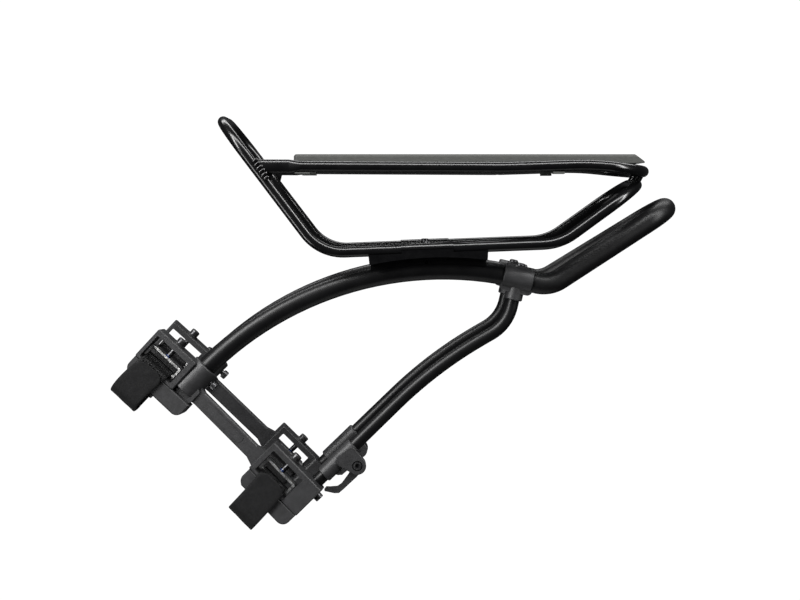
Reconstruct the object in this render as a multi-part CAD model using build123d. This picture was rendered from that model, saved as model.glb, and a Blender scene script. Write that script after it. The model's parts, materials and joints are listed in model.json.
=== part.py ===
from build123d import *
import math
import os

# Rear rack that straps to a bicycle's two seat stays.  Millimetres.
# +X points to the rear of the bicycle, +Y to its right, +Z up.
# The origin is midway between the two lower stay saddles, at the height of the stays' axes.
# The rack is the same on both sides: the left side is modelled at negative Y and mirrored.

# ------------------------------------------------------------------ driving dimensions

# seat stays that the rack is strapped to
STAY_R = 9.5
LOWER_STAY = (0.0, 61.5, 0.0)            # x, distance from the mid-plane, z
UPPER_STAY = (-101.9, 51.5, 101.3)
UPPER_TILT = 1.8                         # how far the upper housing is turned off the stay, degrees
LOWER_TILT = -0.7

# arch: one tube from the left upper mount, round the bumper, to the right upper mount
ARCH_R = 9.0
ARCH_WALL = 1.6
ARCH_BEND = 303.0                        # radius of the arch's centreline
ARCH_CENTRE = (169.4, -98.2)             # x, z of the arch's centre
ARCH_FRONT_X = -61.7
ARCH_REAR_X = 252.4
ARCH_FRONT_W = 51.9                      # distance from the mid-plane at the front and rear ends
ARCH_REAR_W = 45.0
BUMPER_CORNER = (262.6, 190.3)
BUMPER_CORNER_W = 44.8
BUMPER_BEND = 28.0
BUMPER_END = (376.0, 259.7)
BUMPER_END_W = 24.0
BUMPER_TURN = 27.0
SLEEVE_WALL = 0.7

# struts from the lower mounts up to the arch
STRUT_R = 6.0
STRUT_WALL = 1.5
STRUT_KNEE = (162.1, 117.2)
STRUT_KNEE_W = 45.0
STRUT_KNEE_BEND = 390.0
STRUT_NECK_BEND = 38.0
STRUT_TOP_W = 44.6
STRUT_T = 28.6                           # place of the strut in the lower housing, along the stay
STRUT_N = 26.0                           # depth of its lower end above the stay's axis
STRUT_B = -10.5                          # inboard of the housing's middle
STRUT_BLOCK_B = (-19.5, 11.0)            # inner and outer faces of the strut's socket

# junction clamps where struts meet the arch
JUNCTION_X = 237.2
JUNCTION_LENGTH = 27.0
JUNCTION_R = 11.7
JUNCTION_FLAT = 11.3                     # height of the bolt's flat above the arch's axis
STRUT_BOSS_R = 8.1
STRUT_BOSS_LENGTH = 20.0
STRUT_SEAT = 10.0                        # distance of the strut's top from the arch's axis
NECK_DROP = 43.0

# deck loops
DECK_R = 5.0
DECK_WALL = 1.2
RAIL_W = 66.0
HOOP_TOP = (-29.9, 338.6)
HOOP_W = 58.0
HOOP_TURN = 38.0
LEG_FOOT = (59.6, 220.5)
LEG_BEND = 42.0
RAIL_REAR = (273.3, 228.8)
RAIL_BEND = 50.0
LOWER_REAR = (346.0, 281.4)
LOWER_REAR_W = 60.0
LOWER_REAR_TURN = 38.0
TOP_FRONT = (42.0, 297.2)                # where the round tube ends and the flattened end starts
TOP_DIP = (225.0, 296.3)
TOP_DIP_BEND = 500.0
TOP_CREST = (303.0, 298.8)
TOP_CREST_BEND = 220.0
TOP_REAR = (352.1, 293.2)
TOP_REAR_W = 62.0
WELD_STUD_W = 14.0                       # place of the two studs between the loops at the rear
TOP_REAR_TURN = 40.0
FLAT_END = (3.6, 6.2)                    # half thickness and half height of the flattened ends
FLAT_NECK = 10.0                         # length over which the tube flattens
FLAT_END_CUT = (2.2, 301.0)              # a point of the slanted cut along the leg

# track plate on top of the deck
PLATE_X = (35.2, 350.5)
PLATE_TOP = 308.7
PLATE_SKIRT = 300.8
PLATE_HALF = 48.0
PLATE_SHEET = 2.2
PLATE_CHAMFER = (8.7, 6.5)               # fall of the plate's rear end: length and height
PLATE_SLOT = (38.0, 12.0)                # pairs of wide slots
PLATE_SLOT_X = (95, 150, 205, 300)
PLATE_SLOT_Y = 20.0
PLATE_KEYHOLE = (20.0, 7.0)              # narrow slots along the middle
PLATE_KEYHOLE_X = (75, 122.5, 177.5, 232, 285)
PLATE_SCREW_R = 3.2
PLATE_SCREW_SINK = 1.7
PLATE_SCREW_SHANK = 1.5
PLATE_SCREW_Y = 34.0
# supports: front and rear edge, thickness of the sheet under the rails
SUPPORTS = {"front": (37.5, 51.0, 1.2), "rear": (266.5, 276.5, 2.0)}
SUPPORT_SHEET = 2.5
SUPPORT_LEVEL = 300.4                    # top of the raised middle of each support
SUPPORT_BUSH_R = 3.9

# brackets that join the deck's lower rails to the arch
BRACKET_X = (102.5, 208.9)
BRACKET_PAD = 3.0
BRACKET_W = (40.5, 71.2)
CLAMP_X = (132.0, 178.2)
CLAMP_WALL = 0.7
FIT = 0.05                               # radial clearance of every running or seated fit

# stay mounts
HOUSING_HALF = 12.0                      # half of the housing's width across the stay
HOUSING_FOOT = 17.0                      # height of the housing's underside above the stay's axis
HOUSING_TOP = 49.3
WINDOW_T = (-18.3, 18.7)
WINDOW_N = (20.0, 43.9)
BAR_N = (21.8, 35.8)
BAR_HALF = 4.8
BAR_FLARE = 9.0
BAR_PANEL = (46.0, 7.5, 1.0)             # raised blank panel on the bar's outer face
ARCH_BOSS_X = -43.0                      # mouth of the arch's socket
ARCH_BOSS_R = 13.0
ARCH_BOSS_LENGTH = 30.0
ARCH_BLOCK_OUT = 7.0                      # outer face of the block behind the arch's socket
SADDLE_T = {"upper": (-21.0, 44.8), "lower": (-21.9, 36.6)}
HOUSING_T = {"upper": (-21.6, 24.0), "lower": (-23.2, 37.2)}
SADDLE_FOOT = 1.2                        # lowest edge of the pads above the stay's axis
# screws that hold the arch and the strut in their sockets: station and outer end of the head
SOCKET_SCREWS = (("upper", 50.4, 42.8, -2.2), ("lower", 41.75, 40.3, STRUT_B))
SOCKET_SCREW_HEAD = (4.1, 4.5)           # radius and length

# buckles, rollers, tension bolts and straps
YOKE_T = 17.4
YOKE_N = (33.0, 35.0)
LEG_N = 21.6
LEG_B = 6.0
BUCKLE_SHEET = 2.0
ROLLER_R = 1.75
ROLLER_N = 23.8
TENSION_R = 2.5
TENSION_HEAD_R = 4.2
TENSION_HEAD = 5.0
STRAP_HALF = 14.0
STRAP_SHEET = 1.8
STRAP_B = HOUSING_HALF + 0.4             # inner faces of the strap's runs beside the housing
STRAP_T = {"upper": -1.0, "lower": 1.4}  # middle of each strap along its station
TAIL_TOP = {"upper": 20.0, "lower": 22.0}
TAIL_FOOT = -13.0

# pannier hooks on the struts
COLLAR_R = 7.9
COLLAR_LENGTH = 38.4
COLLAR_FOOT = 8.2                        # gap between the lower housing and the collar
LUG = (8.7, -14.9)                       # lug bolt from the collar's middle: along and across the strut
LUG_R = 8.0
LUG_SLOT = 2.6
LUG_B = (-7.0, 9.0)
LUG_RECESS = 4.2                         # depth of the bolt head's seat in the outer ear
HOOK_HALF = 2.45

MIRROR = Plane.XZ


# ------------------------------------------------------------------ helpers

def left(point, w):
    """A point of the left side from its side-view place and its distance from the mid-plane."""
    return Vector(point[0], -w, point[1])


def swept(path, radius):
    """A round bar along a path."""
    section = Plane(origin=path @ 0, z_dir=path % 0) * Circle(radius)
    return sweep(section, path=path)


def mirrored(shape):
    """The same shape on the other side of the bicycle."""
    return mirror(shape, about=MIRROR)


def both(shape):
    """A shape of the left side joined at the mid-plane to its mirror image."""
    return shape + mirrored(shape)


def rod(start, end, radius):
    """A round rod from one point to another."""
    axis = Vector(end) - Vector(start)
    plane = Plane(origin=start, z_dir=axis)
    return plane * extrude(Circle(radius), amount=axis.length)


def arch_w(x):
    """Distance of the arch from the mid-plane."""
    share = (x - ARCH_FRONT_X) / (ARCH_REAR_X - ARCH_FRONT_X)
    return ARCH_FRONT_W + share * (ARCH_REAR_W - ARCH_FRONT_W)


def arch_point(x, offset=0.0):
    """A point of the arch's centreline, or of its top when given an offset."""
    run = x - ARCH_CENTRE[0]
    radius = ARCH_BEND + offset
    return left((x, ARCH_CENTRE[1] + math.sqrt(radius ** 2 - run ** 2)), arch_w(x))


def arch_tangent(x):
    """Direction of the arch towards the rear."""
    step = 0.5
    return (arch_point(x + step) - arch_point(x - step)).normalized()


def prism(points, half, plane=Plane.XY):
    """A closed outline extruded both ways from its plane."""
    outline = make_face(Polyline(*points, close=True))
    return plane * extrude(outline, amount=half, both=True)


def slab(t, n, b):
    """A block in a local frame from its limits along, across and outwards."""
    size = (t[1] - t[0], n[1] - n[0], b[1] - b[0])
    place = ((t[0] + t[1]) / 2, (n[0] + n[1]) / 2, (b[0] + b[1]) / 2)
    return Pos(*place) * Box(*size)


def eased(shape, axis, amount):
    """Ease the edges that bound the faces square to an axis."""
    faces = shape.faces().filter_by(axis)
    edges = faces.sort_by(axis)[0].outer_wire().edges() + faces.sort_by(axis)[-1].outer_wire().edges()
    return chamfer(edges, amount)


# ------------------------------------------------------------------ local frames

STAY_FOOT = left((LOWER_STAY[0], LOWER_STAY[2]), LOWER_STAY[1])
STAY_HEAD = left((UPPER_STAY[0], UPPER_STAY[2]), UPPER_STAY[1])
STAY_AXIS = (STAY_FOOT - STAY_HEAD).normalized()
OUTWARD = (Vector(0, -1, 0) - STAY_AXIS * Vector(0, -1, 0).dot(STAY_AXIS)).normalized()
STAY_RUN = (STAY_FOOT - STAY_HEAD).length

# mount frame: x down along the stay, y from the stay towards the rack, z outwards
MOUNT = Plane(origin=STAY_FOOT, x_dir=STAY_AXIS, z_dir=OUTWARD)
STATIONS = {
    "upper": Location(MOUNT) * Pos(-STAY_RUN, 0, 0) * Rot(0, 0, UPPER_TILT),
    "lower": Location(MOUNT) * Rot(0, 0, LOWER_TILT),
}


def station_point(name, t, n, b):
    """A point in global coordinates from a place in a station's frame."""
    return (STATIONS[name] * Pos(t, n, b)).position


# ------------------------------------------------------------------ tubes

def arch_path():
    """Half of the arch and bumper, from the left upper mount to the mid-plane."""
    front = arch_point(ARCH_FRONT_X)
    rear = arch_point(ARCH_REAR_X)
    arc = ThreePointArc(front, arch_point((ARCH_FRONT_X + ARCH_REAR_X) / 2), rear)
    corner = rear + (arc % 1) * (BUMPER_CORNER[0] - ARCH_REAR_X) * 1.28
    bumper = FilletPolyline(
        rear,
        corner,
        left(BUMPER_END, BUMPER_END_W),
        left(BUMPER_END, 0),
        radius=[BUMPER_BEND, BUMPER_TURN],
    )
    return Wire([arc] + list(bumper.edges()))


def strut_foot():
    """Lower end of the left strut, inside the lower housing."""
    return station_point("lower", STRUT_T, STRUT_N, STRUT_B)


def strut_path():
    """Left strut from the lower housing up to the junction clamp."""
    centre = arch_point(JUNCTION_X)
    down = -junction_plane().y_dir
    seat = centre + down * STRUT_SEAT
    neck = centre + down * NECK_DROP
    return FilletPolyline(
        strut_foot(),
        left(STRUT_KNEE, STRUT_KNEE_W),
        Vector(neck.X, -STRUT_TOP_W, neck.Z),
        Vector(seat.X, -STRUT_TOP_W, seat.Z),
        radius=[STRUT_KNEE_BEND, STRUT_NECK_BEND],
    )


def lower_loop_path():
    """Half of the loop that makes the front hoop, legs, lower rails and rear risers."""
    return FilletPolyline(
        left(HOOP_TOP, 0),
        left(HOOP_TOP, HOOP_W),
        left(LEG_FOOT, RAIL_W),
        left(RAIL_REAR, RAIL_W),
        left(LOWER_REAR, LOWER_REAR_W),
        left(LOWER_REAR, 0),
        radius=[HOOP_TURN, LEG_BEND, RAIL_BEND, LOWER_REAR_TURN],
    )


def top_loop_path():
    """Half of the loop that makes the top rails and the rear end of the deck."""
    return FilletPolyline(
        left(TOP_FRONT, RAIL_W),
        left(TOP_DIP, RAIL_W),
        left(TOP_CREST, RAIL_W),
        left(TOP_REAR, TOP_REAR_W),
        left(TOP_REAR, 0),
        radius=[TOP_DIP_BEND, TOP_CREST_BEND, TOP_REAR_TURN],
    )


def junction_plane():
    """Frame of the left junction clamp: x along the arch to the rear, y away from the strut."""
    return Plane(origin=arch_point(JUNCTION_X), x_dir=arch_tangent(JUNCTION_X), z_dir=(0, -1, 0))


def rail_height(x):
    """Height of the lower rail's axis."""
    slope = (RAIL_REAR[1] - LEG_FOOT[1]) / (RAIL_REAR[0] - LEG_FOOT[0])
    return LEG_FOOT[1] + slope * (x - LEG_FOOT[0])


def arch_tube():
    """Main tube, drilled on both sides for the junction bolts."""
    path = arch_path()
    half = swept(path, ARCH_R) - swept(path, ARCH_R - ARCH_WALL)
    half -= junction_plane() * Pos(0, ARCH_R, 0) * Rot(90, 0, 0) * Cylinder(2 + FIT, 8)
    return both(half)


def bumper_sleeve():
    """Rubber sleeve over the rear U of the main tube."""
    path = arch_path()
    plane = junction_plane()
    start = plane.origin + plane.x_dir * (JUNCTION_LENGTH / 2 + 0.6)
    keep = Plane(origin=start, x_dir=(0, 1, 0), z_dir=plane.x_dir)
    half = swept(path, ARCH_R + SLEEVE_WALL) - swept(path, ARCH_R)
    half = split(half, bisect_by=keep, keep=Keep.TOP)
    return both(half)


def strut():
    """Left strut, a plain bent tube."""
    path = strut_path()
    return swept(path, STRUT_R) - swept(path, STRUT_R - STRUT_WALL)


def deck_lower_loop():
    """Lower deck tube with the two weld studs that carry the top loop at the rear."""
    path = lower_loop_path()
    half = swept(path, DECK_R)
    half += rod(left(LOWER_REAR, WELD_STUD_W), left(TOP_REAR, WELD_STUD_W), 4.0)
    half -= swept(path, DECK_R - DECK_WALL)
    half -= swept(top_loop_path(), DECK_R)
    half -= rod(left((LEG_FOOT[0], LEG_FOOT[1] - 9), RAIL_W), left(LEG_FOOT, RAIL_W), 1.5)
    return both(half)


def flattened_end():
    """Front end of the left top rail, pressed flat and cut along the leg."""
    thick, tall = FLAT_END
    start = left(TOP_FRONT, RAIL_W)
    forward = (start - left(TOP_DIP, RAIL_W)).normalized()
    round_end = Plane(origin=start - forward * 0.3, x_dir=(0, -1, 0), z_dir=forward)
    flat = Plane(origin=start + forward * FLAT_NECK, x_dir=(0, -1, 0), z_dir=forward)
    neck = loft([round_end * Circle(DECK_R - 0.06), flat * Ellipse(thick, tall)])
    tongue = flat * extrude(Ellipse(thick, tall), amount=50)
    along = (left(LEG_FOOT, 0) - left(HOOP_TOP, 0)).normalized()
    cut = Plane(origin=left(FLAT_END_CUT, RAIL_W), x_dir=along, z_dir=along.cross(Vector(0, -1, 0)))
    tongue = split(tongue, bisect_by=cut, keep=Keep.BOTTOM if cut.z_dir.X < 0 else Keep.TOP)
    return neck + tongue


def deck_top_loop():
    """Top deck tube, with flattened ends that lie on the legs of the front hoop."""
    path = top_loop_path()
    half = swept(path, DECK_R) - swept(path, DECK_R - DECK_WALL) + flattened_end()
    half -= swept(lower_loop_path(), DECK_R)
    vent = (TOP_DIP[0], TOP_DIP[1] - DECK_R)
    half -= rod(left((vent[0], vent[1] - 3), RAIL_W), left((vent[0], vent[1] + 3), RAIL_W), 1.5)
    return both(half)


def front_gusset():
    """Small web plate welded between the left leg and the top rail."""
    rail_under = TOP_FRONT[1] - DECK_R + 1
    outline = [(4, rail_under), (18.2, rail_under), (16, rail_under - 8.6), (9, rail_under - 8.6)]
    plane = Plane(origin=(0, -(RAIL_W - 1.8), 0), x_dir=(1, 0, 0), z_dir=(0, -1, 0))
    web = prism(outline, 1.5, plane)
    web -= swept(lower_loop_path(), DECK_R)
    web -= flattened_end()
    return web.solids().sort_by(SortBy.VOLUME)[-1]


# ------------------------------------------------------------------ deck plate and its supports

def track_plate():
    """Folded plate that bags slide onto: top sheet, two skirts, slots and screw holes."""
    x0, x1 = PLATE_X
    fall_x, fall_z = PLATE_CHAMFER
    side = [
        (x0, PLATE_SKIRT),
        (x0, PLATE_TOP),
        (x1 - fall_x, PLATE_TOP),
        (x1, PLATE_TOP - fall_z),
        (x1, PLATE_SKIRT),
    ]
    upright = Plane(origin=(0, 0, 0), x_dir=(1, 0, 0), z_dir=(0, -1, 0))
    plate = prism(side, PLATE_HALF, upright)
    plate = fillet(plate.edges().filter_by(Axis.Z).sort_by(Axis.X)[0:2], 4)
    long_edges = plate.edges().filter_by(Axis.X).group_by(Axis.Z)[-1]
    plate = fillet(long_edges, 2.6)
    inner = PLATE_HALF - PLATE_SHEET
    hollow = [
        (x0 + PLATE_SHEET, PLATE_SKIRT - 5),
        (x0 + PLATE_SHEET, PLATE_TOP - PLATE_SHEET),
        (x1 - fall_x - 1, PLATE_TOP - PLATE_SHEET),
        (x1 + 5, PLATE_TOP - PLATE_SHEET - 8.8),
    ]
    plate -= prism(hollow, inner, upright)
    slot = extrude(SlotOverall(*PLATE_SLOT), amount=8, both=True)
    for x in PLATE_SLOT_X:
        for y in (-PLATE_SLOT_Y, PLATE_SLOT_Y):
            plate -= Pos(x, y, PLATE_TOP) * slot
    keyhole = extrude(SlotOverall(*PLATE_KEYHOLE), amount=8, both=True)
    for x in PLATE_KEYHOLE_X:
        plate -= Pos(x, 0, PLATE_TOP) * keyhole
    hole = Cylinder(PLATE_SCREW_SHANK + FIT, 12)
    low_r = PLATE_SCREW_R - PLATE_SCREW_SINK + FIT
    hole += Pos(0, 0, -0.2) * Cone(low_r, low_r + 2 * PLATE_SCREW_SINK, 2 * PLATE_SCREW_SINK)
    for x, y in plate_screws():
        plate -= Pos(x, y, PLATE_TOP) * hole
    return plate


def plate_screws():
    """Places of the screws that hold the plate to its supports."""
    places = []
    for low, high, _ in SUPPORTS.values():
        for y in (-PLATE_SCREW_Y, PLATE_SCREW_Y):
            places.append(((low + high) / 2, y))
    return places


def top_rail_height(x):
    """Height of the top rail's axis before its crest."""
    start, end = (TOP_FRONT, TOP_DIP) if x < TOP_DIP[0] else (TOP_DIP, TOP_CREST)
    return start[1] + (end[1] - start[1]) / (end[0] - start[0]) * (x - start[0])


def plate_support(name):
    """Folded strap welded under both top rails, with raised bushes that the plate sits on."""
    low, high, sheet = SUPPORTS[name]
    middle = (low + high) / 2
    under = min(top_rail_height(low), top_rail_height(high)) - DECK_R
    top = SUPPORT_LEVEL
    outline = [
        (RAIL_W + 3.5, under),
        (RAIL_W + 3.5, under - sheet),
        (57.5, under - sheet),
        (55.5, top - SUPPORT_SHEET),
        (0, top - SUPPORT_SHEET),
        (0, top),
        (57.5, top),
        (59.5, under),
    ]
    plane = Plane(origin=(middle, 0, 0), x_dir=(0, -1, 0), z_dir=(-1, 0, 0))
    strap = both(prism(outline, (high - low) / 2, plane))
    for x, y in plate_screws():
        if low < x < high:
            bush_top = PLATE_TOP - PLATE_SHEET
            strap += Pos(x, y, (top + bush_top) / 2) * Cylinder(SUPPORT_BUSH_R, bush_top - top)
            strap -= Pos(x, y, top) * Cylinder(PLATE_SCREW_SHANK + FIT, 30)
    return strap


def plate_screw_set():
    """Countersunk screws through the plate into its supports."""
    head = Pos(0, 0, -0.95) * Cone(PLATE_SCREW_R - PLATE_SCREW_SINK, PLATE_SCREW_R, PLATE_SCREW_SINK)
    head -= extrude(RegularPolygon(1.2, 6), amount=1.2, both=True)
    screw = head + Pos(0, 0, -6.5) * Cylinder(PLATE_SCREW_SHANK, 10)
    return Compound(children=[Pos(x, y, PLATE_TOP) * screw for x, y in plate_screws()])


# ------------------------------------------------------------------ deck brackets and rail clamps

def rail_cutter(radius):
    """The lower rail's straight part, as a cutter."""
    x0, x1 = 70.0, 262.0
    return rod(left((x0, rail_height(x0)), RAIL_W), left((x1, rail_height(x1)), RAIL_W), radius)


def upright_plane():
    """Side-view plane on the mid-plane, with z towards the left."""
    return Plane(origin=(0, 0, 0), x_dir=(1, 0, 0), z_dir=(0, -1, 0))


def arch_band(x_limits, low, high, w_limits):
    """A curved strip that follows the arch between two heights above its axis."""
    cx, cz = ARCH_CENTRE
    ring = Circle(ARCH_BEND + high) - Circle(ARCH_BEND + low)
    x0, x1 = x_limits
    cutter = Pos((x0 + x1) / 2 - cx, ARCH_BEND) * Rectangle(x1 - x0, 120)
    strip = Pos(cx, cz) * (ring & cutter)
    w0, w1 = w_limits
    return upright_plane() * Pos(0, 0, w0) * extrude(strip, amount=w1 - w0)


def deck_bracket():
    """Saddle on the arch with a web out to the left lower rail and the lower half of its clamp."""
    x0, x1 = BRACKET_X
    top0 = rail_height(x0) - DECK_R + 1.6
    top1 = rail_height(x1) - DECK_R + 1.6
    web_outline = [(x0, top0), (x1, top1), (x1 - 1, 200), (x0 + 2, 200)]
    web = upright_plane() * Pos(0, 0, 58.5) * extrude(make_face(Polyline(*web_outline, close=True)), 12.7)
    web -= arch_band((60, 250), -60, ARCH_R + BRACKET_PAD, (30, 90))
    saddle = arch_band((x0 + 2, x1 - 1), ARCH_R - 3.4, ARCH_R + BRACKET_PAD, (40.5, 55.5))
    bridge = arch_band((x0 + 2, x1 - 1), ARCH_R + BRACKET_PAD - 1.4, ARCH_R + BRACKET_PAD + 1.8, (42, 60))
    boss = arch_band((142.0, 173.0), ARCH_R, ARCH_R + BRACKET_PAD + 1.3, (41, 60))
    cradle_low = rail_height(CLAMP_X[0]) - DECK_R - 1.0
    cradle = slab(CLAMP_X, (cradle_low, rail_height(CLAMP_X[1]) + 3), (50.5, BRACKET_W[1]))
    cradle = upright_plane() * cradle
    crown = [(CLAMP_X[0] - 5, rail_height(CLAMP_X[0] - 5)), (CLAMP_X[1] + 5, rail_height(CLAMP_X[1] + 5))]
    crown += [(CLAMP_X[1] + 5, 260), (CLAMP_X[0] - 5, 260)]
    cradle -= upright_plane() * Pos(0, 0, 40) * extrude(make_face(Polyline(*crown, close=True)), 40)
    bracket = web + saddle + bridge + boss + cradle
    bracket -= swept(arch_path(), ARCH_R)
    bracket -= rail_cutter(DECK_R + FIT)
    x, w = clamp_screw_place()
    bracket -= rod(left((x, 190), w), left((x, 240), w), 2.0 + FIT)
    return bracket.solids().sort_by(SortBy.VOLUME)[-1]


def clamp_screw_place():
    """Side-view place and distance from the mid-plane of the left rail clamp's screw."""
    return (CLAMP_X[0] + CLAMP_X[1]) / 2, 55.4


def rail_clamp():
    """Upper half of the clamp round the left lower rail, with its inboard ear."""
    length = CLAMP_X[1] - CLAMP_X[0]
    middle = (CLAMP_X[0] + CLAMP_X[1]) / 2
    slope = math.degrees(math.atan2(rail_height(200) - rail_height(100), 100))
    frame = Location(left((middle, rail_height(middle)), RAIL_W)) * Rot(0, -slope, 0)
    ring = Rot(0, 90, 0) * Cylinder(DECK_R + CLAMP_WALL, length)
    ear = Pos(0, 9.6, 1.35) * Box(18, 11.2, 2.1)
    cap = ring + ear
    cap -= Rot(0, 90, 0) * Cylinder(DECK_R + FIT, length + 2)
    cap -= Pos(0, 0, -10 + 0.3) * Box(length + 2, 40, 20)
    cap = frame * cap
    x, w = clamp_screw_place()
    cap -= rod(left((x, 190), w), left((x, 260), w), 2.0 + FIT)
    return cap


def clamp_screw():
    """Screw of the left rail clamp."""
    x, w = clamp_screw_place()
    seat = rail_height(x) + 2.6
    shank = rod(left((x, seat - 9), w), left((x, seat), w), 2.0)
    head = Location(left((x, seat + 1.9), w)) * Cylinder(3.5, 3.8)
    head = fillet(head.edges().sort_by(Axis.Z)[-1], 1.0)
    head -= Location(left((x, seat + 3.8), w)) * extrude(RegularPolygon(1.7, 6), amount=1.8, both=True)
    return head + shank


# ------------------------------------------------------------------ junction clamps

def junction_clamp():
    """Moulded joint: a sleeve on the arch, a socket for the strut and a flat for the bolt."""
    plane = junction_plane()
    sleeve = Rot(0, 90, 0) * Cylinder(JUNCTION_R, JUNCTION_LENGTH)
    sleeve = chamfer(sleeve.edges().filter_by(GeomType.CIRCLE), 0.8)
    socket = Pos(0, -STRUT_BOSS_LENGTH / 2, 0) * Rot(90, 0, 0) * Cylinder(STRUT_BOSS_R, STRUT_BOSS_LENGTH)
    socket = chamfer(socket.edges().filter_by(GeomType.CIRCLE).sort_by(Axis.Y)[0], 0.8)
    skirt = Pos(0, -8.5, 0) * Box(JUNCTION_LENGTH + 2.4, 10, 2 * STRUT_BOSS_R - 3)
    skirt = fillet(skirt.edges().filter_by(Axis.Z), 4.5)
    flat = Pos(1.5, JUNCTION_FLAT - 3.7, 0) * Box(15, 7.4, 13)
    flat = fillet(flat.edges().filter_by(Axis.Y), 3.5)
    joint = plane * (sleeve + socket + skirt + flat)
    joint -= swept(arch_path(), ARCH_R + FIT)
    joint -= swept(strut_path(), STRUT_R + FIT)
    joint -= plane * Pos(0, JUNCTION_R, 0) * Rot(90, 0, 0) * Cylinder(2 + FIT, 12)
    joint -= plane * Pos(0, JUNCTION_FLAT + 2, 0) * Rot(90, 0, 0) * Cylinder(4.4, 4)
    return joint.solids().sort_by(SortBy.VOLUME)[-1]


def junction_bolt():
    """Button-head bolt that pins the left junction clamp to the arch."""
    head = Pos(0, 0, 1.35) * Cylinder(4.2, 2.7)
    head = fillet(head.edges().sort_by(Axis.Z)[-1], 1.9)
    head -= Pos(0, 0, 2.7) * extrude(RegularPolygon(1.6, 6), amount=1.6, both=True)
    shank = Pos(0, 0, -4.5) * Cylinder(2.0, 9)
    return junction_plane() * Pos(0, JUNCTION_FLAT, 0) * Rot(-90, 0, 0) * (head + shank)


# ------------------------------------------------------------------ stay mounts

def arch_boss_axis():
    """Mouth and direction of the arch's socket in the left upper mount."""
    return arch_point(ARCH_BOSS_X), arch_tangent(ARCH_BOSS_X)


def housing(name):
    """Open frame of one station, in the station's own frame."""
    t0, t1 = HOUSING_T[name]
    outline = Rectangle(t1 - t0, HOUSING_TOP - HOUSING_FOOT)
    outline = Pos((t0 + t1) / 2, (HOUSING_FOOT + HOUSING_TOP) / 2) * fillet(outline.vertices(), 1.6)
    frame = extrude(outline, amount=HOUSING_HALF, both=True)
    frame = eased(frame, Axis.Z, 0.8)
    window = slab(WINDOW_T, WINDOW_N, (-HOUSING_HALF - 1, HOUSING_HALF + 1))
    window = fillet(window.edges().filter_by(Axis.Z), 1.0)
    frame -= window
    frame += Pos(0, HOUSING_TOP + 0.4, 0) * Rot(90, 0, 0) * Cylinder(6.2, 1.6)
    frame -= Pos(0, HOUSING_TOP, 0) * Rot(90, 0, 0) * Cylinder(TENSION_R + FIT, 20)
    return frame


def stay_mount():
    """Left mount: two open housings joined by a bar, with sockets for the arch and the strut."""
    upper = STATIONS["upper"] * housing("upper")
    lower = STATIONS["lower"] * housing("lower")

    # bar between the housings, flared at both ends
    start = (MOUNT.location.inverse() * STATIONS["upper"] * Pos(23, 0, 0)).position
    end = (MOUNT.location.inverse() * STATIONS["lower"] * Pos(-22, 0, 0)).position
    low, high = BAR_N
    bar = slab((start.X, end.X), (low, high), (-BAR_HALF, BAR_HALF))
    front_flare = [
        (start.X, low - 1),
        (start.X + BAR_FLARE + 14, low),
        (start.X + BAR_FLARE + 14, high),
        (start.X + 4, high + 6),
        (start.X, high + 6),
    ]
    rear_flare = [
        (end.X, low - 3),
        (end.X - BAR_FLARE, low),
        (end.X - BAR_FLARE, high),
        (end.X, high + 2.5),
    ]
    front_flare = prism(front_flare, BAR_HALF)
    rear_flare = prism(rear_flare, BAR_HALF)
    bar = eased(bar, Axis.Z, 1.0)
    panel_mid = (start.X + end.X) / 2 + 4
    panel = Pos(panel_mid, (low + high) / 2, BAR_HALF) * Box(*BAR_PANEL)
    panel = fillet(panel.edges().filter_by(Axis.Z), 3.0)
    bar = MOUNT.location * (bar + front_flare + rear_flare + panel)

    # socket for the arch
    mouth, direction = arch_boss_axis()
    arch_boss = rod(mouth - direction * ARCH_BOSS_LENGTH, mouth, ARCH_BOSS_R)
    arch_boss = fillet(arch_boss.edges(), 1.2)
    arch_block = slab((19, 43.5), (HOUSING_FOOT, 33), (-HOUSING_HALF, ARCH_BLOCK_OUT))
    arch_block = STATIONS["upper"] * fillet(arch_block.edges().filter_by(Axis.Z), 3.0)

    # socket for the strut
    strut_block = slab((19, HOUSING_T["lower"][1]), (HOUSING_FOOT + 3, HOUSING_TOP), STRUT_BLOCK_B)
    strut_block = STATIONS["lower"] * fillet(strut_block.edges().filter_by(Axis.Y), 3.0)

    mount = upper + lower + bar + arch_boss + arch_block + strut_block
    mount -= swept(arch_path(), ARCH_R + FIT)
    mount -= swept(strut_path(), STRUT_R + FIT)
    for name, t, n, b in SOCKET_SCREWS:
        depth = SOCKET_SCREW_HEAD[1] + 6.5
        hole = Cylinder(TENSION_R + FIT, depth, align=(Align.CENTER, Align.CENTER, Align.MAX))
        mount -= STATIONS[name] * Pos(t, n, b) * Rot(0, 90, 0) * hole
    return mount.solids().sort_by(SortBy.VOLUME)[-1]


def socket_screws():
    """Left pair of cap screws in the tube sockets, each stopping at its tube."""
    radius, length = SOCKET_SCREW_HEAD
    head = Pos(0, 0, -length / 2) * Cylinder(radius, length)
    head = chamfer(head.edges().sort_by(Axis.Z)[-1], 0.6)
    head -= Pos(0, 0, -1.4) * extrude(RegularPolygon(2.3, 6), amount=3)
    shank = Cylinder(TENSION_R, 12, align=(Align.CENTER, Align.CENTER, Align.MAX))
    blank = head + Pos(0, 0, -length) * shank
    tubes = {"upper": swept(arch_path(), ARCH_R + 0.1), "lower": swept(strut_path(), STRUT_R + 0.1)}
    screws = []
    for name, t, n, b in SOCKET_SCREWS:
        screw = STATIONS[name] * Pos(t, n, b) * Rot(0, 90, 0) * blank - tubes[name]
        screws.append(screw.solids().sort_by(SortBy.VOLUME)[-1])
    return screws


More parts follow.
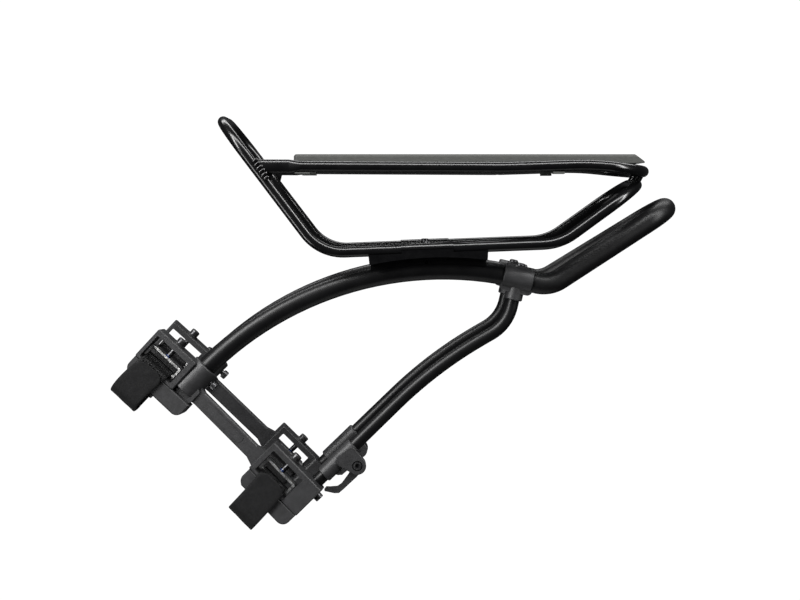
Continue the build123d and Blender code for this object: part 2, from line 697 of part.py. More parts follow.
def saddle_pad(name):
    """Rubber saddle under a housing, grooved for the stay."""
    t0, t1 = SADDLE_T[name]
    depth = HOUSING_FOOT - SADDLE_FOOT
    outline = Pos((t0 + t1) / 2, SADDLE_FOOT + depth / 2) * Rectangle(t1 - t0, depth)
    corners = outline.vertices().group_by(Axis.Y)[0]
    outline = fillet(corners, 7.5)
    pad = extrude(outline, amount=HOUSING_HALF - 0.2, both=True)
    pad = STATIONS[name] * eased(pad, Axis.Z, 1.0)
    groove = MOUNT.location * Pos(-STAY_RUN / 2, 0, 0) * Rot(0, 90, 0) * Cylinder(STAY_R, STAY_RUN + 200)
    return pad - groove


def buckle():
    """Steel U bracket that the tension bolt pulls, in a station's frame."""
    shape = slab((-YOKE_T, YOKE_T), YOKE_N, (-LEG_B, LEG_B))
    for side in (-1, 1):
        middle = side * (YOKE_T - BUCKLE_SHEET / 2)
        leg = slab((middle - 1, middle + 1), (LEG_N, YOKE_N[1]), (-LEG_B, LEG_B))
        foot = leg.edges().filter_by(Axis.X).group_by(Axis.Y)[0]
        shape += fillet(foot, 4.0)
    bends = shape.edges().filter_by(Axis.Z).group_by(Axis.Y)[-1]
    shape = fillet(bends, 1.5)
    shape -= Pos(0, YOKE_N[0], 0) * Rot(90, 0, 0) * Cylinder(TENSION_R + FIT, 10)
    shape -= Pos(0, ROLLER_N, 0) * Rot(0, 90, 0) * Cylinder(ROLLER_R + 0.02, 50)
    return shape


def roller():
    """Rod between the buckle's legs that the strap turns on."""
    return Pos(0, ROLLER_N, 0) * Rot(0, 90, 0) * Cylinder(ROLLER_R, 2 * YOKE_T)


def tension_bolt():
    """Cap screw on the housing's top that draws the buckle up."""
    seat = HOUSING_TOP + 1.2
    head = Pos(0, 0, TENSION_HEAD / 2) * Cylinder(TENSION_HEAD_R, TENSION_HEAD)
    head = chamfer(head.edges().sort_by(Axis.Z)[-1], 0.6)
    head -= Pos(0, 0, TENSION_HEAD - 2.8) * extrude(RegularPolygon(2.3, 6), amount=4)
    length = seat - YOKE_N[0]
    shank = Cylinder(TENSION_R, length, align=(Align.CENTER, Align.CENTER, Align.MAX))
    return Pos(0, seat, 0) * Rot(-90, 0, 0) * (head + shank)


def strap(name):
    """Hook-and-loop strap round the roller and the stay, with its tail on the outer side."""
    ring_inside = [
        (-2.1, ROLLER_N + 2.1),
        (2.1, ROLLER_N + 2.1),
        (4.5, 22.6),
        (STRAP_B, 20.9),
        (STRAP_B, TAIL_FOOT),
        (6.0, -18.4),
        (-4.0, -18.4),
        (-STRAP_B, -8.0),
        (-STRAP_B, 20.9),
        (-4.5, 22.6),
    ]
    inside = make_face(Polyline(*ring_inside, close=True))
    outside = offset(inside, STRAP_SHEET)
    tail_b = (STRAP_B + STRAP_SHEET - 0.2, STRAP_B + 2 * STRAP_SHEET)
    tail = Rectangle(tail_b[1] - tail_b[0], TAIL_TOP[name] - TAIL_FOOT)
    tail = Pos(sum(tail_b) / 2, (TAIL_TOP[name] + TAIL_FOOT) / 2) * tail
    section = Plane(origin=(0, 0, 0), x_dir=(0, 0, 1), z_dir=(-1, 0, 0)) * ((outside - inside) + tail)
    return Pos(STRAP_T[name], 0, 0) * extrude(section, amount=STRAP_HALF, both=True)


# ------------------------------------------------------------------ pannier hooks

def collar_plane():
    """Frame of the left collar: x up along the strut, y off it towards the front, z outwards."""
    foot = strut_foot()
    along = (left(STRUT_KNEE, STRUT_KNEE_W) - foot).normalized()
    out = (Vector(0, -1, 0) - along * Vector(0, -1, 0).dot(along)).normalized()
    start = HOUSING_TOP - STRUT_N + COLLAR_FOOT + COLLAR_LENGTH / 2
    return Plane(origin=foot + along * start, x_dir=along, z_dir=out)


def hook_collar():
    """Split collar that slides on the left strut, with two ears for the hook and its bolt."""
    sleeve = Rot(0, 90, 0) * Cylinder(COLLAR_R, COLLAR_LENGTH)
    sleeve = chamfer(sleeve.edges().filter_by(GeomType.CIRCLE), 0.8)
    low, high = LUG_B
    s, q = LUG
    lug_outline = make_hull([
        (Pos(s, q) * Circle(LUG_R)).edge(),
        (Pos(s - 6, -2) * Circle(6)).edge(),
        (Pos(s + 5, -2) * Circle(4.4)).edge(),
    ])
    lug = Pos(0, 0, low) * extrude(lug_outline, amount=high - low)
    lug = eased(lug, Axis.Z, 0.7)
    nub = Pos(-7.5, -8.2, 0) * Box(5, 2.4, 8)
    collar = sleeve + lug + fillet(nub.edges().filter_by(Axis.Z), 0.9)
    collar -= slab((-30, 30), (-40, 0), (-LUG_SLOT, LUG_SLOT))
    rib = ((-COLLAR_LENGTH / 2 + 1, s - LUG_R - 3.2), (-COLLAR_R + 0.5, -STRUT_R))
    collar += slab(*rib, (-LUG_SLOT, LUG_SLOT))
    collar -= Pos(s, q, 0) * Cylinder(TENSION_R + FIT, 40)
    recess = Cylinder(4.7, 10, align=(Align.CENTER, Align.CENTER, Align.MIN))
    collar -= Pos(s, q, high - LUG_RECESS) * recess
    collar -= Rot(0, 90, 0) * Cylinder(STRUT_R + FIT, COLLAR_LENGTH + 4)
    return collar_plane() * collar.solids().sort_by(SortBy.VOLUME)[-1]


def hook_bolt():
    """Bolt through the left collar's ears, which clamps the collar and carries the hook."""
    s, q = LUG
    low, high = LUG_B
    seat = high - LUG_RECESS
    head = Pos(0, 0, seat + 1.8) * Cylinder(4.1, 3.6)
    head = chamfer(head.edges().sort_by(Axis.Z)[-1], 0.5)
    head -= Pos(0, 0, seat + 1.6) * extrude(RegularPolygon(2.3, 6), amount=4)
    shank = Pos(0, 0, low) * Cylinder(TENSION_R, seat - low, align=(Align.CENTER, Align.CENTER, Align.MIN))
    return collar_plane() * Pos(s, q, 0) * (head + shank)


def pannier_hook():
    """Flat hook that swings on the left lug bolt and closes against the strut."""
    s, q = LUG
    outline = [
        (5.0, -3.5),
        (0, -6.6),
        (-8.0, -7.2),
        (-23.8, -6.8),
        (-29.4, -6.4),
        (-32.4, -3.6),
        (-37.4, 4.0),
        (-36.6, 5.2),
        (-33.4, 5.6),
        (-31.2, 3.2),
        (-26.0, -1.2),
        (-21.4, -2.0),
        (-10.6, -0.2),
        (-5.0, 3.2),
        (0, 5.0),
        (4.2, 3.4),
    ]
    body = make_face(Polyline(*outline, close=True))
    body = fillet(body.vertices(), 0.9)
    hook = extrude(body + Circle(6.3), amount=HOOK_HALF, both=True)
    hook -= Cylinder(TENSION_R + FIT, 20)
    return collar_plane() * Pos(s, q, 0) * hook


# ------------------------------------------------------------------ assembly

def sides(name, shape, nodes):
    """Add a left piece and its mirror image."""
    nodes["left_" + name] = shape
    nodes["right_" + name] = mirrored(shape)


def build():
    """Every piece of the rack by its node name."""
    nodes = {
        "arch_tube": arch_tube(),
        "bumper_sleeve": bumper_sleeve(),
        "deck_lower_loop": deck_lower_loop(),
        "deck_top_loop": deck_top_loop(),
        "track_plate": track_plate(),
        "front_plate_support": plate_support("front"),
        "rear_plate_support": plate_support("rear"),
        "plate_screws": plate_screw_set(),
    }
    sides("front_gusset", front_gusset(), nodes)
    sides("deck_bracket", deck_bracket(), nodes)
    sides("rail_clamp", rail_clamp(), nodes)
    sides("junction_clamp", junction_clamp(), nodes)
    sides("strut", strut(), nodes)
    sides("stay_mount", stay_mount(), nodes)
    sides("hook_collar", hook_collar(), nodes)
    sides("hook_bolt", hook_bolt(), nodes)
    sides("pannier_hook", pannier_hook(), nodes)
    for name, place in STATIONS.items():
        sides(name + "_saddle_pad", saddle_pad(name), nodes)
        sides(name + "_buckle", place * buckle(), nodes)
        sides(name + "_roller", place * roller(), nodes)
        sides(name + "_tension_bolt", place * tension_bolt(), nodes)
        sides(name + "_strap", place * strap(name), nodes)
    clamp = clamp_screw()
    nodes["rail_clamp_screws"] = Compound(children=[clamp, mirrored(clamp)])
    bolt = junction_bolt()
    nodes["junction_bolts"] = Compound(children=[bolt, mirrored(bolt)])
    pair = socket_screws()
    nodes["socket_screws"] = Compound(children=pair + [mirrored(screw) for screw in pair])
    return nodes


os.makedirs("parts", exist_ok=True)
for node, shape in build().items():
    export_step(shape, os.path.join("parts", node + ".step"))
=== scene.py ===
import json
import math
import random

import bmesh
import bpy
from mathutils import Matrix, Vector


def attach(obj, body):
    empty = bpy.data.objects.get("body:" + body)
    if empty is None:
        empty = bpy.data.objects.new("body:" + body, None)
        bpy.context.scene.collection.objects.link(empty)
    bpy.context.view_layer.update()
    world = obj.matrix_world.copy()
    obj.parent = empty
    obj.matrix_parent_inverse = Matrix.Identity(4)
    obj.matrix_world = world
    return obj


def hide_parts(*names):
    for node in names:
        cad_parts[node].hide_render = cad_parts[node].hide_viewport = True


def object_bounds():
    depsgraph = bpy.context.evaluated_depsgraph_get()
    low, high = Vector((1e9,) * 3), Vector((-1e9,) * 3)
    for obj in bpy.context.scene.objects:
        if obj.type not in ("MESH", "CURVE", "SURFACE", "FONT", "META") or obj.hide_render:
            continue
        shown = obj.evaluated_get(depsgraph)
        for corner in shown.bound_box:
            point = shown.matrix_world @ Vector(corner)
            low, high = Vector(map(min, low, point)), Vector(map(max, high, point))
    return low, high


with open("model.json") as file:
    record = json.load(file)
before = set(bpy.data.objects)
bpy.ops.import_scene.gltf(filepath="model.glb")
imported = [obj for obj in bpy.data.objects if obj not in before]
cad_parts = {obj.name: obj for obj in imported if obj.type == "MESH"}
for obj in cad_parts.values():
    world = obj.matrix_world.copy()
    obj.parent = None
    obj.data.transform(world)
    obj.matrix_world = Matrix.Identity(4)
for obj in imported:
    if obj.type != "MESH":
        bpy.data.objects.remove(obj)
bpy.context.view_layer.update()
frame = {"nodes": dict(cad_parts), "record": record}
record = frame["record"]


# ------------------------------------------------------------------ camera, stage and light

def link(obj):
    """Put a new object in the scene."""
    bpy.context.scene.collection.objects.link(obj)
    return obj


CAMERA_PLACE = (0.1234, -1.6, 0.2692)
CAMERA_SENSOR = 36.0
CAMERA_LENS = 77.6
CAMERA_DIP = 3.38                        # degrees below the horizontal
CAMERA_TURN = 0.27                       # degrees towards the rack's rear
FLOOR_DROP = 0.8                         # the floor is far down, to light the underside little
FLOOR_RADIUS = 0.5
MIDDLE = (0.16, 0.0, 0.16)               # middle of the rack, which the lights point at


def smooth_object(mesh, name):
    """Smooth-shaded object from a working mesh, which is freed."""
    for face in mesh.faces:
        face.smooth = True
    data = bpy.data.meshes.new(name)
    mesh.to_mesh(data)
    mesh.free()
    return link(bpy.data.objects.new(name, data))


def skin_rings(mesh, rings, closed=False):
    """Faces from ring to ring, joined up into a loop or capped at both ends."""
    pairs = list(zip(rings, rings[1:]))
    if closed:
        pairs.append((rings[-1], rings[0]))
    for low, high in pairs:
        for k in range(len(low)):
            j = (k + 1) % len(low)
            mesh.faces.new((low[k], low[j], high[j], high[k]))
    if not closed:
        mesh.faces.new(rings[0])
        mesh.faces.new(list(reversed(rings[-1])))
    bmesh.ops.recalc_face_normals(mesh, faces=mesh.faces)


def add_camera():
    """Camera at the rack's left side, a little below the deck and looking slightly down."""
    data = bpy.data.cameras.new("camera")
    data.sensor_width = CAMERA_SENSOR
    data.lens = CAMERA_LENS
    camera = link(bpy.data.objects.new("camera", data))
    camera.location = CAMERA_PLACE
    camera.rotation_euler = (math.radians(90 - CAMERA_DIP), 0, math.radians(-CAMERA_TURN))
    bpy.context.scene.camera = camera


def add_stage():
    """Pale, evenly lit round floor."""
    floor_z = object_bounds()[0][2] - FLOOR_DROP
    mesh = bmesh.new()
    bmesh.ops.create_circle(mesh, cap_ends=True, radius=FLOOR_RADIUS, segments=128)
    for vert in mesh.verts:
        vert.co += Vector((MIDDLE[0], MIDDLE[1], floor_z))
    data = bpy.data.meshes.new("floor")
    mesh.to_mesh(data)
    mesh.free()
    floor = link(bpy.data.objects.new("floor", data))
    material = new_material("studio_floor", (0.12, 0.12, 0.12), roughness=0.95, specular=0.05)
    shader = material.node_tree.nodes["Principled BSDF"]
    shader.inputs["Emission Color"].default_value = (1, 1, 1, 1)
    shader.inputs["Emission Strength"].default_value = 1.0
    data.materials.append(material)


def add_light(name, place, target, size, power):
    """Rectangular soft light that points at a place."""
    data = bpy.data.lights.new(name, "AREA")
    data.shape = "RECTANGLE"
    data.size, data.size_y = size
    data.energy = power
    light = link(bpy.data.objects.new(name, data))
    light.location = place
    light.rotation_euler = (Vector(target) - Vector(place)).to_track_quat("-Z", "Y").to_euler()


def add_lights():
    """Two overhead strips, two side strips and a low one, in a dim room with a white backdrop."""
    add_light("overhead_strip", (0.16, -0.95, 1.75), MIDDLE, (3.4, 0.34), 150)
    add_light("overhead_back", (0.16, 1.0, 1.8), MIDDLE, (3.0, 0.4), 45)
    add_light("left_strip", (-1.25, -1.35, 0.95), MIDDLE, (0.34, 1.5), 120)
    add_light("right_strip", (1.75, -1.1, 0.95), MIDDLE, (0.34, 1.5), 85)
    add_light("low_left_strip", (-1.2, -0.95, -0.45), (0.05, 0.0, 0.25), (0.22, 0.9), 22)
    world = bpy.data.worlds.new("studio")
    world.use_nodes = True
    tree = world.node_tree
    output = tree.nodes["World Output"]
    room = tree.nodes["Background"]
    room.inputs["Color"].default_value = (0.93, 0.95, 1.0, 1)
    room.inputs["Strength"].default_value = 0.05
    backdrop = tree.nodes.new("ShaderNodeBackground")
    backdrop.inputs["Color"].default_value = (1, 1, 1, 1)
    backdrop.inputs["Strength"].default_value = 1.05
    mix = tree.nodes.new("ShaderNodeMixShader")
    path = tree.nodes.new("ShaderNodeLightPath")
    tree.links.new(path.outputs["Is Camera Ray"], mix.inputs["Fac"])
    tree.links.new(room.outputs["Background"], mix.inputs[1])
    tree.links.new(backdrop.outputs["Background"], mix.inputs[2])
    tree.links.new(mix.outputs["Shader"], output.inputs["Surface"])
    bpy.context.scene.world = world


# ------------------------------------------------------------------ materials

def new_material(name, color, roughness=0.5, specular=0.5, metallic=0.0):
    """Material with a Principled shader set to plain values."""
    material = bpy.data.materials.new(name)
    material.use_nodes = True
    shader = material.node_tree.nodes["Principled BSDF"]
    shader.inputs["Base Color"].default_value = (*color, 1)
    shader.inputs["Roughness"].default_value = roughness
    shader.inputs["Specular IOR Level"].default_value = specular
    shader.inputs["Metallic"].default_value = metallic
    return material


class Nodes:
    """Short hand for building a material's node tree."""

    def __init__(self, material):
        self.tree = material.node_tree
        self.shader = self.tree.nodes["Principled BSDF"]
        self.place = self.tree.nodes.new("ShaderNodeTexCoord").outputs["Object"]

    def join(self, source, target):
        self.tree.links.new(source, target)

    def noise(self, scale, detail=3.0, roughness=0.5, stretch=None):
        node = self.tree.nodes.new("ShaderNodeTexNoise")
        node.inputs["Scale"].default_value = scale
        node.inputs["Detail"].default_value = detail
        node.inputs["Roughness"].default_value = roughness
        place = self.place
        if stretch:
            mapping = self.tree.nodes.new("ShaderNodeMapping")
            mapping.inputs["Scale"].default_value = stretch
            self.join(place, mapping.inputs["Vector"])
            place = mapping.outputs["Vector"]
        self.join(place, node.inputs["Vector"])
        return node.outputs["Fac"]

    def cells(self, scale):
        node = self.tree.nodes.new("ShaderNodeTexVoronoi")
        node.inputs["Scale"].default_value = scale
        self.join(self.place, node.inputs["Vector"])
        return node.outputs["Distance"]

    def ramp(self, source, low, high, start=0.0, end=1.0):
        """Colours between two points of a value."""
        node = self.tree.nodes.new("ShaderNodeValToRGB")
        first, last = node.color_ramp.elements
        first.position, last.position = start, end
        first.color, last.color = (*low, 1), (*high, 1)
        self.join(source, node.inputs["Fac"])
        return node.outputs["Color"]

    def remap(self, source, low, high, start=0.0, end=1.0):
        node = self.tree.nodes.new("ShaderNodeMapRange")
        node.inputs["From Min"].default_value = start
        node.inputs["From Max"].default_value = end
        node.inputs["To Min"].default_value = low
        node.inputs["To Max"].default_value = high
        self.join(source, node.inputs["Value"])
        return node.outputs["Result"]

    def bump(self, source, strength, distance, below=None):
        node = self.tree.nodes.new("ShaderNodeBump")
        node.inputs["Strength"].default_value = strength
        node.inputs["Distance"].default_value = distance
        self.join(source, node.inputs["Height"])
        if below:
            self.join(below, node.inputs["Normal"])
        return node.outputs["Normal"]

    def color(self, source):
        self.join(source, self.shader.inputs["Base Color"])

    def roughness(self, source):
        self.join(source, self.shader.inputs["Roughness"])

    def normal(self, source):
        self.join(source, self.shader.inputs["Normal"])


def black_paint(name, rough, specular):
    """Powder coat with a faint orange peel and a little dust in its gloss."""
    material = new_material(name, (0.0009, 0.0009, 0.001), specular=specular)
    nodes = Nodes(material)
    dust = nodes.noise(60, 4)
    nodes.color(nodes.ramp(dust, (0.0006, 0.0006, 0.0007), (0.0012, 0.0012, 0.0013), 0.3, 0.7))
    nodes.roughness(nodes.remap(nodes.noise(90, 4, 0.6), rough - 0.02, rough + 0.03, 0.3, 0.7))
    nodes.normal(nodes.bump(nodes.noise(200, 2), 0.01, 0.0001))
    return material


def moulded(name, low, high, rough, specular=0.18):
    """Glass-filled moulded polymer with a fine spark texture and faint flow marks."""
    material = new_material(name, low, specular=specular)
    nodes = Nodes(material)
    nodes.color(nodes.ramp(nodes.noise(140, 6, 0.65), low, high, 0.35, 0.65))
    nodes.roughness(nodes.remap(nodes.noise(900, 4), rough - 0.08, rough + 0.06, 0.3, 0.7))
    flow = nodes.bump(nodes.noise(90, 3), 0.06, 0.001)
    nodes.normal(nodes.bump(nodes.noise(2600, 3, 0.7), 0.32, 0.0003, flow))
    return material


def rubber(name, low, high, rough):
    """Matte rubber with a fine grain and small paler scuffs."""
    material = new_material(name, low, specular=0.11)
    nodes = Nodes(material)
    nodes.color(nodes.ramp(nodes.noise(260, 6, 0.7), low, high, 0.38, 0.72))
    nodes.roughness(nodes.remap(nodes.noise(120, 4), rough - 0.03, rough + 0.04, 0.3, 0.7))
    nodes.normal(nodes.bump(nodes.noise(900, 2, 0.5), 0.02, 0.0001))
    return material


def anodised():
    """Dark anodised aluminium with fine brush lines along the plate."""
    material = new_material("anodised", (0.05, 0.05, 0.048), specular=0.06)
    nodes = Nodes(material)
    lines = nodes.noise(260, 4, 0.6, (1.0, 14.0, 14.0))
    nodes.color(nodes.ramp(lines, (0.017, 0.0174, 0.0164), (0.028, 0.0286, 0.0271), 0.3, 0.7))
    nodes.roughness(nodes.remap(lines, 0.46, 0.58, 0.3, 0.7))
    nodes.normal(nodes.bump(nodes.noise(1800, 2), 0.08, 0.0003))
    return material


def bright_steel():
    """Bright plated steel with fine rolling lines and small scratches."""
    material = new_material("bright_steel", (0.62, 0.62, 0.61), metallic=1.0)
    nodes = Nodes(material)
    lines = nodes.noise(500, 4, 0.6, (1.0, 10.0, 1.0))
    nodes.color(nodes.ramp(lines, (0.32, 0.32, 0.315), (0.6, 0.6, 0.59), 0.3, 0.7))
    nodes.roughness(nodes.remap(lines, 0.22, 0.4, 0.3, 0.7))
    nodes.normal(nodes.bump(lines, 0.08, 0.0003))
    return material


def black_oxide():
    """Blackened steel of the screws, with wear that shows a little bare metal."""
    material = new_material("black_oxide", (0.02, 0.02, 0.02), metallic=0.8)
    nodes = Nodes(material)
    wear = nodes.noise(500, 6, 0.7)
    nodes.color(nodes.ramp(wear, (0.012, 0.012, 0.013), (0.07, 0.07, 0.07), 0.45, 0.8))
    nodes.roughness(nodes.remap(nodes.noise(700, 4), 0.26, 0.42, 0.3, 0.7))
    nodes.normal(nodes.bump(nodes.noise(2400, 3), 0.12, 0.0002))
    return material


def webbing():
    """Smooth woven back of a hook-and-loop strap: a fine weave and faint creases."""
    material = new_material("black_webbing", (0.02, 0.02, 0.021), specular=0.05)
    nodes = Nodes(material)
    nodes.shader.inputs["Sheen Weight"].default_value = 0.015
    nodes.shader.inputs["Sheen Roughness"].default_value = 0.5
    yarn = nodes.noise(420, 5, 0.7)
    nodes.color(nodes.ramp(yarn, (0.0013, 0.0013, 0.0014), (0.003, 0.003, 0.0031), 0.35, 0.7))
    nodes.roughness(nodes.remap(nodes.noise(300, 4), 0.62, 0.8, 0.3, 0.7))
    creases = nodes.bump(nodes.noise(45, 3, 0.6, (1.0, 3.0, 1.0)), 0.12, 0.002)
    weave = nodes.bump(nodes.cells(1900), 0.35, 0.0003, creases)
    nodes.normal(nodes.bump(nodes.noise(5200, 2), 0.2, 0.0002, weave))
    return material


def loop_pile_material():
    """Dark nylon of the strap's looped face."""
    material = new_material("loop_pile", (0.002, 0.002, 0.0021), specular=0.08)
    nodes = Nodes(material)
    yarn = nodes.noise(700, 4, 0.7)
    nodes.color(nodes.ramp(yarn, (0.001, 0.001, 0.0011), (0.003, 0.003, 0.0031), 0.35, 0.7))
    nodes.roughness(nodes.remap(nodes.noise(900, 3), 0.34, 0.55, 0.3, 0.7))
    nodes.normal(nodes.bump(nodes.cells(1500), 0.5, 0.0006))
    return material


def threadlocker():
    """Dried blue threadlocker."""
    material = new_material("threadlocker", (0.01, 0.06, 0.25), specular=0.4)
    nodes = Nodes(material)
    crust = nodes.noise(900, 4, 0.7)
    nodes.color(nodes.ramp(crust, (0.003, 0.012, 0.06), (0.006, 0.028, 0.12), 0.35, 0.7))
    nodes.roughness(nodes.remap(nodes.noise(900, 3), 0.4, 0.6, 0.3, 0.7))
    nodes.normal(nodes.bump(nodes.noise(2200, 3), 0.3, 0.0003))
    return material


def make_materials():
    """Materials by the record's slot names."""
    return {
        "black_tube": black_paint("black_paint", 0.22, 0.2),
        "black_polymer": moulded(
            "black_polymer", (0.0046, 0.0046, 0.0048), (0.0078, 0.0078, 0.0082), 0.46),
        "dark_polymer": moulded(
            "dark_polymer", (0.0004, 0.0004, 0.0005), (0.001, 0.001, 0.0011), 0.6, 0.01),
        "black_rubber": rubber(
            "black_rubber", (0.0008, 0.0008, 0.0009), (0.0016, 0.0016, 0.0017), 0.42),
        "anodised_plate": anodised(),
        "bright_steel": bright_steel(),
        "black_steel": black_oxide(),
        "black_webbing": webbing(),
    }


def dress_cad_nodes(materials):
    """Dress every carried-over CAD node by its slot, with a closer match for a few of them."""
    pad_rubber = rubber("saddle_rubber", (0.0062, 0.0062, 0.0064), (0.0098, 0.0098, 0.0102), 0.5)
    satin = black_paint("satin_paint", 0.36, 0.12)
    for part in record["subparts"]:
        obj = frame["nodes"][part["node"]]
        obj.data.materials.clear()
        if part["node"].endswith("_saddle_pad"):
            obj.data.materials.append(pad_rubber)
        elif part["node"].endswith("_rail_clamp"):
            obj.data.materials.append(materials["black_tube"])
        elif part["node"].endswith("_pannier_hook"):
            obj.data.materials.append(materials["black_polymer"])
        elif part["node"] == "arch_tube" or part["node"].endswith("_strut"):
            obj.data.materials.append(satin)
        else:
            obj.data.materials.append(materials[part["material_slot"]])


# ------------------------------------------------------------------ straps

STRAP_WIDTH = 0.0292
STRAP_SHEET = 0.0017
STRAP_CORNER = 0.0085                    # radius of the free end's corners
STRAP_COLUMNS = 12                       # divisions across a strap's width
PATH_STEP = 1.1                          # spacing of a strap's cross sections, mm
SPAN_STEPS = 16                          # fine points between two given points of a path
RING_SWELL = 0.00004                     # unevenness of the ring and of the tail
TAIL_SWELL = 0.00012
WAVE_ACROSS = 420
WAVE_ALONG = 0.31
LEAN_TOP = 20                            # height from which a strap leans, and how far down, mm
LEAN_DEPTH = 41
BOLT_PLACE = 0.05                        # height of the bolts' joints above the stay's axis

PILE_LOOPS = 1100
PILE_FOOT = 0.78                         # foot of the loops above the strap's middle, mm
PILE_MARGIN = 0.0016
PILE_RADIUS = (0.00028, 0.00055)
PILE_STRETCH = 1.25                      # height of a loop to its radius
PILE_THREAD = 0.00009                    # radius of the thread
PILE_STEPS = 6
PILE_SIDES = 3

# strap round the roller and the stay: distance outwards and distance above the stay's axis, mm
RING = [
    (0, 26.8), (3.1, 25.9), (5.2, 23.6), (9.0, 22.35), (12.1, 21.5), (13.3, 19.4),
    (13.35, 10), (13.35, 0), (13.2, -9), (11.7, -14.8), (6.6, -18.6), (0, -19.8),
    (-5.4, -18.4), (-10.6, -13), (-13.1, -6), (-13.35, 4), (-13.35, 12), (-13.3, 19.4),
    (-12.1, 21.5), (-9.0, 22.35), (-5.2, 23.6), (-3.1, 25.9),
]
# the tail that lies on the ring's outer side, up to its free end
TAIL_START = [
    (-9.6, -17.4), (-6.2, -20.2), (0, -21.6), (7.4, -20.4),
    (13.2, -15.9), (15.0, -9.4), (15.2, 0), (15.15, 9),
]
# each strap's place and lean along the stay, and the height of its free end, mm
STRAP_SET = {
    "upper": {"middle": -1.0, "lean": -2.0, "bulge": -1.5, "top": 19.6},
    "lower": {"middle": 1.4, "lean": 2.4, "bulge": 0.4, "top": 26.4},
}


def station_frame(side, name):
    """Origin on the stay's axis, and directions along the stay, off it to the bolt, and outwards."""
    joint_name = f"{side}_{name}_bolt_spin"
    joint = next(j for j in record["behaviour"]["joints"] if j["name"] == joint_name)
    up = -Vector(joint["axis"]).normalized()
    origin = Vector(joint["pos_m"]) - up * BOLT_PLACE
    saddle = next(m for m in record["mounts"] if m["name"] == f"{side}_{name}_stay_saddle")
    along = Vector(saddle["axis"])
    along = (along - up * along.dot(up)).normalized()
    out = along.cross(up) * (1 if side == "left" else -1)
    return origin, along, up, out


def smooth_path(points, closed, step):
    """Even points along a Catmull-Rom curve through the given points, and its length."""
    count = len(points)
    spans = count if closed else count - 1
    fine = []
    for i in range(spans):
        if closed:
            p = [Vector(points[(i + k) % count]) for k in (-1, 0, 1, 2)]
        else:
            p = [Vector(points[min(max(i + k, 0), count - 1)]) for k in (-1, 0, 1, 2)]
        for k in range(SPAN_STEPS):
            t = k / SPAN_STEPS
            fine.append(0.5 * (2 * p[1] + (p[2] - p[0]) * t
                               + (2 * p[0] - 5 * p[1] + 4 * p[2] - p[3]) * t * t
                               + (3 * p[1] - p[0] - 3 * p[2] + p[3]) * t ** 3))
    fine.append(Vector(points[0] if closed else points[-1]))
    lengths = [0.0]
    for a, b in zip(fine, fine[1:]):
        lengths.append(lengths[-1] + (b - a).length)
    total = lengths[-1]
    number = max(8, round(total / step))
    result = []
    j = 0
    for i in range(number if closed else number + 1):
        goal = total * i / number
        while lengths[j + 1] < goal and j < len(fine) - 2:
            j += 1
        span = lengths[j + 1] - lengths[j]
        result.append(fine[j].lerp(fine[j + 1], (goal - lengths[j]) / span if span else 0))
    return result, total


def band_profile(sheet, width):
    """Rounded flat section of a strap: points across it and through it."""
    points = []
    half, r = width / 2, sheet / 2
    for k in range(STRAP_COLUMNS + 1):
        points.append((half - r - (2 * half - 2 * r) * k / STRAP_COLUMNS, r))
    points += [(-half + 0.3 * r, 0.6 * r), (-half, 0.0), (-half + 0.3 * r, -0.6 * r)]
    for k in range(STRAP_COLUMNS + 1):
        points.append((-half + r + (2 * half - 2 * r) * k / STRAP_COLUMNS, -r))
    points += [(half - 0.3 * r, -0.6 * r), (half, 0.0), (half - 0.3 * r, 0.6 * r)]
    return points


def strap_lean(name, n):
    """Shift of a strap along the stay at a height above the stay's axis, mm."""
    place = STRAP_SET[name]
    down = min(max((LEAN_TOP - n) / LEAN_DEPTH, 0), 1)
    return place["middle"] + place["lean"] * down + place["bulge"] * math.sin(math.pi * down)


def strap_point(basis, name, b, n, across):
    """Point of a strap from its place round the stay and across its width."""
    origin, along, up, out = basis
    place = strap_lean(name, n) / 1000 + across
    return origin + along * place + up * (n / 1000) + out * (b / 1000)


def band(name, basis, points, closed, station, wave_seed):
    """Strap body swept along a path, with rounded corners at its free end."""
    path, total = smooth_path(points, closed, PATH_STEP)
    profile = band_profile(STRAP_SHEET, STRAP_WIDTH)
    half = STRAP_WIDTH / 2
    swell = RING_SWELL if closed else TAIL_SWELL
    mesh = bmesh.new()
    rings = []
    count = len(path)
    for i, p in enumerate(path):
        before = path[(i - 1) % count] if closed or i else path[0]
        after = path[(i + 1) % count] if closed or i < count - 1 else path[-1]
        tangent = (after - before).normalized()
        normal = Vector((-tangent.y, tangent.x))
        left_over = (count - 1 - i) * total / (count - 1) / 1000
        narrow = 0.0
        if not closed and left_over < STRAP_CORNER:
            inset = STRAP_CORNER - left_over
            narrow = STRAP_CORNER - math.sqrt(max(STRAP_CORNER ** 2 - inset ** 2, 0))
        ring = []
        for across, through in profile:
            across *= (half - narrow) / half
            wave = (swell * math.sin(across * WAVE_ACROSS + wave_seed)
                    * math.sin(i * WAVE_ALONG + wave_seed))
            spot = p + normal * ((through + wave) * 1000)
            ring.append(mesh.verts.new(strap_point(basis, station, spot.x, spot.y, across)))
        rings.append(ring)
    skin_rings(mesh, rings, closed)
    return smooth_object(mesh, name)


